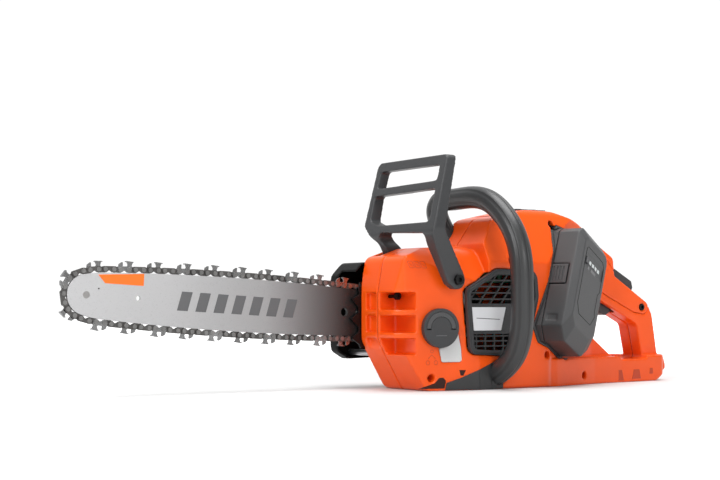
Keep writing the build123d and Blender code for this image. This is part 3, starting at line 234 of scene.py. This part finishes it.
M = {
    "orange": seamed_orange(),
    "grip": grooved_grip(),
    "dark": plastic("dark_plastic", (0.040, 0.041, 0.043), 0.42, grain=0.25, edge=0.0008, spec=0.4),
    "battery": plastic("battery_plastic", (0.050, 0.051, 0.053), 0.46, grain=0.5, grain_scale=1500,
                       edge=0.0009),
    "black": plastic("black_plastic", (0.004, 0.004, 0.004), 0.45, grain=0.3, edge=0.0008, spec=0.12),
    "bar": ground_bar(),
    "chain": metal("chain_steel", (0.16, 0.155, 0.15), 0.38, vary=0.5, edge=0.00015),
    "cutter": metal("cutter_chrome", (0.34, 0.34, 0.34), 0.26, vary=0.5, edge=0.00015),
    "rivet": metal("rivet_steel", (0.30, 0.295, 0.29), 0.30, vary=0.4, edge=0.0002),
    "plated": metal("plated_steel", (0.42, 0.41, 0.40), 0.32, vary=0.2),
    "blackened": metal("black_steel", (0.035, 0.035, 0.036), 0.42, vary=0.3),
    "alu": metal("aluminium", (0.62, 0.62, 0.63), 0.4, vary=0.1),
    "lamination": metal("laminated_steel", (0.3, 0.3, 0.31), 0.45, (1, 600, 1), 3, 0.3),
    "copper": metal("copper", (0.75, 0.32, 0.15), 0.3, vary=0.2),
    "tank": plastic("tank_plastic", (0.60, 0.61, 0.61), 0.34, grain=0.2, vary=0.03),
    "silver": plastic("silver_label", (0.68, 0.69, 0.71), 0.30, grain=0.1, vary=0.03),
    "rubber": plastic("rubber", (0.02, 0.02, 0.02), 0.65, grain=0.5),
    "board": plastic("circuit_board", (0.015, 0.12, 0.05), 0.35, vary=0.3),
    "cell": plastic("cell_wrap", (0.03, 0.2, 0.25), 0.3),
    "light": plastic("light_clear", (0.62, 0.66, 0.66), 0.2),
    "key": plastic("key_rubber", (0.08, 0.08, 0.085), 0.55),
    "label": plastic("label_orange", (0.92, 0.16, 0.006), 0.4, grain=0.05, vary=0.03),
    "ink": plastic("printed_grey", (0.105, 0.106, 0.11), 0.5, grain=0.05, vary=0.05),
    # darker orange for raised marks and recesses: painted shade
    "relief": plastic("relief_painted_shade", (0.50, 0.045, 0.003), 0.4, grain=0.05),
    "flap": plastic("flap_plastic", (0.060, 0.061, 0.063), 0.36, grain=0.2, edge=0.0006),
    # a dark plate for the inside of an opening: painted shade
    "opening_shade": plastic("painted_opening_shade", (0.03, 0.006, 0.002), 0.8, grain=0.2),
    "mark": plastic("pale_mark", (0.16, 0.16, 0.165), 0.5, grain=0.1),
}

# ------------------------------------------------------------------ which node wears what
WEAR = {
    "orange": ["housing_left", "housing_right", "top_cover", "grip_side_cover"],
    "grip": ["front_handle"],
    "flap": ["tank_cap_flap"],
    "dark": ["hand_guard", "air_grille", "tank_cap", "trigger", "lockout_lever",
             "keypad_frame", "brake_link"],
    "battery": ["battery_case_outer", "battery_case_inner", "battery_latch_front", "battery_latch_rear",
                "battery_bay"],
    "black": ["sprocket_cover", "cooling_fan", "trigger_switch", "oil_pump_and_hose"],
    "bar": ["bar_plates", "bar_core"],
    "chain": ["chain_drive_links", "chain_tie_straps", "nose_sprocket"],
    "cutter": ["chain_cutters"],
    "rivet": ["chain_rivets"],
    "plated": ["nose_rivet", "bar_studs_and_nuts", "tension_pin", "tension_screw",
               "pivot_pins", "motor_shaft", "drive_sprocket", "sprocket_washer_and_clip",
               "motor_bearings", "brake_band_and_spring", "brake_drum"],
    "blackened": ["bumper_spikes", "motor_rotor", "housing_screws", "guard_pivot_bolt"],
    "alu": ["inner_brackets", "heat_sink", "chain_catcher"],
    "lamination": ["motor_stator"],
    "copper": ["motor_windings"],
    "tank": ["oil_tank", "oil_level_window"],
    "silver": ["nameplate"],
    "rubber": ["tank_cap_seal"],
    "board": ["controller", "battery_board"],
    "cell": ["battery_cells"],
    "light": ["charge_lights"],
    "key": ["power_button", "mode_button", "charge_button"],
}
for key, names in WEAR.items():
    for name in names:
        node = frame["nodes"][name]
        node.data.materials.clear()
        node.data.materials.append(M[key])


def soften(name, voxel, rounds):
    """Rounds a moulded piece's edges with modifiers, which leave its mesh as it is."""
    node = frame["nodes"][name]
    mod = node.modifiers.new("even", "REMESH")
    mod.mode = "VOXEL"
    mod.voxel_size = voxel
    mod.use_smooth_shade = True
    mod = node.modifiers.new("round", "SMOOTH")
    mod.factor = 0.5
    mod.iterations = rounds


for name in ("housing_left", "housing_right"):
    soften(name, 0.0010, 7)
for name in ("front_handle", "hand_guard"):
    soften(name, 0.0011, 5)
soften("battery_case_outer", 0.0009, 6)
soften("sprocket_cover", 0.0010, 5)
soften("top_cover", 0.0009, 4)
soften("grip_side_cover", 0.0008, 4)

# ------------------------------------------------------------------ details on the surfaces
JOINTS = {j["name"]: j for j in frame["joints"]}
UP = Vector((0, 0, 1))


class Spot:
    """A flat drawing board: an origin, a direction across, one up, and the way out of the surface."""

    def __init__(self, origin, across, out):
        self.origin = Vector(origin)
        self.out = Vector(out).normalized()
        flat = Vector(across) - Vector(across).dot(self.out) * self.out
        self.across = flat.normalized()
        self.up = self.out.cross(self.across)
        if self.up.z < 0:
            self.up = -self.up

    def at(self, x, y, lift=0.0):
        """The point at x across and y up, in millimetres, lifted off the surface."""
        return self.origin + (self.across * x + self.up * y + self.out * lift) / 1000


def decal(name, spot, points, mat, body, thick=0.12, sink=0.05):
    """A thin plate with softened edges, drawn on a spot in millimetres."""
    bm = bmesh.new()
    face = bm.faces.new([bm.verts.new(spot.at(x, y, -sink)) for x, y in points])
    raised = bmesh.ops.extrude_face_region(bm, geom=[face])["geom"]
    lift = spot.out * (thick + sink) / 1000
    bmesh.ops.translate(bm, verts=[v for v in raised if isinstance(v, bmesh.types.BMVert)], vec=lift)
    bmesh.ops.recalc_face_normals(bm, faces=bm.faces)
    mesh = bpy.data.meshes.new(name)
    bm.to_mesh(mesh)
    bm.free()
    piece = bpy.data.objects.new(name, mesh)
    bpy.context.collection.objects.link(piece)
    mesh.materials.append(M[mat])
    soft = piece.modifiers.new("edge", "BEVEL")
    soft.width = thick * 0.3 / 1000
    soft.segments = 2
    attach(piece, body)
    return piece


def relief(name, spot, strokes, radius, mat, body):
    """Raised lines along strokes, lists of points in mm. A stroke that ends where it began is closed."""
    data = bpy.data.curves.new(name, "CURVE")
    data.dimensions = "3D"
    data.bevel_depth = radius / 1000
    data.bevel_resolution = 3
    data.use_fill_caps = True
    for stroke in strokes:
        closed = stroke[0] == stroke[-1]
        points = stroke[:-1] if closed else stroke
        line = data.splines.new("POLY")
        line.points.add(len(points) - 1)
        for spot_point, (x, y) in zip(line.points, points):
            spot_point.co = (*spot.at(x, y), 1)
        line.use_cyclic_u = closed
    piece = bpy.data.objects.new(name, data)
    bpy.context.collection.objects.link(piece)
    data.materials.append(M[mat])
    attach(piece, body)
    return piece


def circle(x, y, r, count=20):
    points = [(x + r * math.cos(2 * math.pi * k / count), y + r * math.sin(2 * math.pi * k / count))
              for k in range(count)]
    return points + points[:1]


def frame_line(x0, y0, x1, y1, r):
    """A rectangle with rounded corners."""
    points = []
    corners = ((x1 - r, y1 - r, 0), (x0 + r, y1 - r, 90), (x0 + r, y0 + r, 180), (x1 - r, y0 + r, 270))
    for cx, cy, start in corners:
        for k in range(7):
            turn = math.radians(start + 15 * k)
            points.append((cx + r * math.cos(turn), cy + r * math.sin(turn)))
    return points + points[:1]


# the bar: x runs from the nose back to the body, y is up
bar_dir = Vector(JOINTS["bar_slide"]["axis"])
nose = Vector(JOINTS["nose_spin"]["pos_m"])
nose.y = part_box("bar_plates")[1].y
BAR_SIDE = Spot(nose, -bar_dir, (0, 1, 0))
decal("bar_label", BAR_SIDE, ((11.5, 21.0), (62.0, 25.2), (62.0, 12.8), (19.5, 12.8)), "label", "bar_unit")
STRIPES = 7                  # slanted stripes along the bar; their sizes are in millimetres
STRIPE_START = 101.0
STRIPE_PITCH = 21.5
STRIPE_WIDTH = 12.5
STRIPE_HALF = 10.0           # half the height
SLANT = 5.0
for k in range(STRIPES):
    low = STRIPE_START + STRIPE_PITCH * k
    high = low + SLANT
    decal(f"bar_stripe_{k + 1}", BAR_SIDE,
          ((low, -STRIPE_HALF), (high, STRIPE_HALF),
           (high + STRIPE_WIDTH, STRIPE_HALF), (low + STRIPE_WIDTH, -STRIPE_HALF)),
          "ink", "bar_unit", thick=0.06)

# the left wall, through the oil cap's seat
cap_out = Vector(JOINTS["cap_turn"]["axis"])
WALL = Spot(JOINTS["cap_turn"]["pos_m"], UP.cross(cap_out), cap_out)
CAP_HEIGHT = 0.0071
CAP_TOP = Spot(WALL.origin + cap_out * CAP_HEIGHT, WALL.across, cap_out)
decal("cap_line", CAP_TOP, ((-6.5, -8.6), (6.5, -8.6), (6.5, -8.0), (-6.5, -8.0)), "mark", "cap")

# the fill mark beside the window, and two dark plates at the foot of the left wall that paint the shade
# inside openings; across runs forwards here
FORWARD = 1 if WALL.across.x > 0 else -1


def ahead(points):
    """Points whose first value counts forwards along the wall."""
    return [(FORWARD * x, y) for x, y in points]


# the fill mark's raised lines are in the darker orange, a painted shade
relief("fill_mark", WALL, [ahead(circle(13.2, -38.0, 2.3)), ahead(circle(3.4, -38.0, 2.3)),
                           ahead(circle(8.4, -25.5, 1.7)),
                           ahead([(13.0, -33.6), (8.4, -29.4), (3.8, -33.6)])],
       0.28, "relief", "saw")
decal("foot_opening_shade", WALL,
      ahead([(25, -66.5), (-7.0, -66.5), (-9.0, -58.0), (-5.5, -54.5), (-0.5, -54.8), (5.0, -60.5)]),
      "opening_shade", "saw")
decal("foot_notch_shade", WALL, ahead([(-25.5, -46.5), (-33.8, -46.7), (-30.5, -52.8), (-27.0, -52.5)]),
      "opening_shade", "saw")

# the handle's foot, where it comes round under the left wall
corner = WALL.origin - WALL.across * (WALL.origin.x / WALL.across.x)     # where the wall turns, at x = 0
TURN = Spot((corner.x, corner.y, 0), WALL.across * FORWARD, cap_out)
FLANK = Spot((corner.x, corner.y, 0), (1, 0, 0), (0, 1, 0))
FOOT_THICK = 1.3
decal("handle_foot_front", TURN, [(0.0, 0.6), (43.0, 0.6), (41.0, 8.6), (24.0, 13.6), (0.0, 22.5)],
      "grip", "saw", thick=FOOT_THICK, sink=0.2)
decal("handle_foot_side", FLANK, [(-34.0, 0.6), (0.0, 0.6), (0.0, 22.5), (-34.0, 36.0)],
      "grip", "saw", thick=FOOT_THICK, sink=0.2)

# small raised marks on the slope above the wall, with no meaning, in a darker orange that paints their shade
SLOPE = Spot((0.064, 0.0459, 0.138), (1, 0, 0), (0, 1, 0.65))
for k in range(3):
    x0 = 2.5 + 8.4 * k
    relief(f"slope_mark_{k + 1}", SLOPE,
           [frame_line(x0, -4.2, x0 + 6.4, 4.6, 1.2), [(x0 + 1.8, -1.6), (x0 + 4.6, 1.8)]],
           0.26, "relief", "saw")

# nameplate line, on the plate's own face
plate_low, plate_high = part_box("nameplate")
PLATE = Spot(((plate_low.x + plate_high.x) / 2, plate_high.y, plate_low.z), (1, 0, 0), (0, 1, 0))
decal("nameplate_line", PLATE, ((-16, 11.9), (18, 13.4), (18, 14.2), (-16, 12.7)),
      "ink", "saw", thick=0.06)

# battery: panel outline and blank marks, drawn from the charge button
pack_out = Vector(JOINTS["battery_slide"]["axis"])
pack_across = Vector(JOINTS["latch_front_press"]["axis"])
button_low, button_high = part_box("charge_button")
button = (button_low + button_high) / 2
PANEL = Spot(button + pack_out * 0.00045, pack_across, pack_out)
relief("battery_panel_line", PANEL,
       [[(-6.5, 12.5), (-3.5, 15.5), (40.0, 15.5), (45.5, 10.0), (45.5, -22.0), (41.5, -26.0), (41.5, -50.0),
         (44.0, -54.0), (36.0, -67.0), (2.0, -67.0), (-6.5, -56.0), (-6.5, 12.5)]],
       0.3, "black", "battery")
for k, (x0, x1) in enumerate(((3.0, 8.0), (12.0, 26.0))):
    decal(f"battery_mark_{k + 1}", PANEL, [(x0, -9.5), (x1, -9.5), (x1, -6.0), (x0, -6.0)], "mark", "battery",
          thick=0.05)

# shallow recesses in the side of the rear base, drawn as darker orange plates that paint their shade; across
# runs rearwards
BASE_SIDE = Spot((-0.250, 0.0302, 0), (-1, -0.075, 0), (-0.075, 1, 0))
for k, (x0, x1, z0, z1, lean) in enumerate(((-14.0, 4.5, 2.2, 15.0, 3.5), (20.5, 37.0, 3.6, 15.0, 3.0),
                                            (54.0, 60.5, 9.0, 16.0, 0.6))):
    decal(f"base_recess_{k + 1}", BASE_SIDE, [(x0, z0), (x1, z0), (x1 - lean, z1), (x0 + lean, z1)],
          "relief", "saw", thick=0.12, sink=0.3)

# ------------------------------------------------------------------ studio
bpy.ops.mesh.primitive_plane_add(size=40, location=(0, 0, -0.0002))
floor = bpy.context.object
floor.name = "floor"
mat, tree, bsdf = new_mat("studio_floor")
bsdf.inputs["Roughness"].default_value = 0.7
bsdf.inputs["Specular IOR Level"].default_value = 0.2
tc = tree.nodes.new("ShaderNodeTexCoord")
far = tree.nodes.new("ShaderNodeVectorMath")
far.operation = "LENGTH"     # distance from the origin: far off, the floor is paler and lights itself
tree.links.new(tc.outputs["Object"], far.inputs[0])
bsdf.inputs["Emission Color"].default_value = (1, 1, 1, 1)
# near the object the floor's colour is darker, a painted shade around the object; farther out it is paler
tree.links.new(step(tree, far.outputs["Value"], 0.30, 0.80, 0.70, 0.88), bsdf.inputs["Base Color"])
tree.links.new(step(tree, far.outputs["Value"], 0.45, 1.8, 0.02, 0.95), bsdf.inputs["Emission Strength"])
floor.data.materials.append(mat)


def area(name, place, target, size, power, size_y=None):
    data = bpy.data.lights.new(name, "AREA")
    data.shape = "RECTANGLE"
    data.size = size
    data.size_y = size_y or size
    data.energy = power
    lamp = bpy.data.objects.new(name, data)
    bpy.context.collection.objects.link(lamp)
    lamp.location = place
    lamp.rotation_euler = (Vector(target) - Vector(place)).to_track_quat("-Z", "Y").to_euler()
    return lamp


VIEW = Vector((-0.5736, -0.8192, 0))     # the way the camera looks
area("key_light", (1.5, 0.6, 1.3), (0.05, 0, 0.1), 0.8, 21, 1.2)
area("top_light", (-0.1, 0.15, 1.7), (0, 0, 0.1), 1.1, 27)
area("side_light", (0.2, 2.0, 0.9), (0.0, 0, 0.1), 0.6, 9)

world = bpy.data.worlds.new("studio")
bpy.context.scene.world = world
world.use_nodes = True
sky = world.node_tree
backdrop = sky.nodes["Background"]
backdrop.inputs["Color"].default_value = (1, 1, 1, 1)
way = sky.nodes.new("ShaderNodeTexCoord")
facing = sky.nodes.new("ShaderNodeVectorMath")
facing.operation = "DOT_PRODUCT"
facing.inputs[1].default_value = VIEW
sky.links.new(way.outputs["Generated"], facing.inputs[0])
sky.links.new(step(sky, facing.outputs["Value"], 0.1, 0.85, 0.30, 1.05), backdrop.inputs["Strength"])

cam_data = bpy.data.cameras.new("camera")
cam_data.lens = 69.8
cam_data.sensor_width = 36
cam_data.shift_y = 0.097
cam_data.clip_start = 0.05
cam = bpy.data.objects.new("camera", cam_data)
bpy.context.collection.objects.link(cam)
cam.location = (0.999, 1.253, 0.089)
cam.rotation_euler = VIEW.to_track_quat("-Z", "Y").to_euler()
bpy.context.scene.camera = cam
bpy.context.scene.view_settings.view_transform = "Standard"
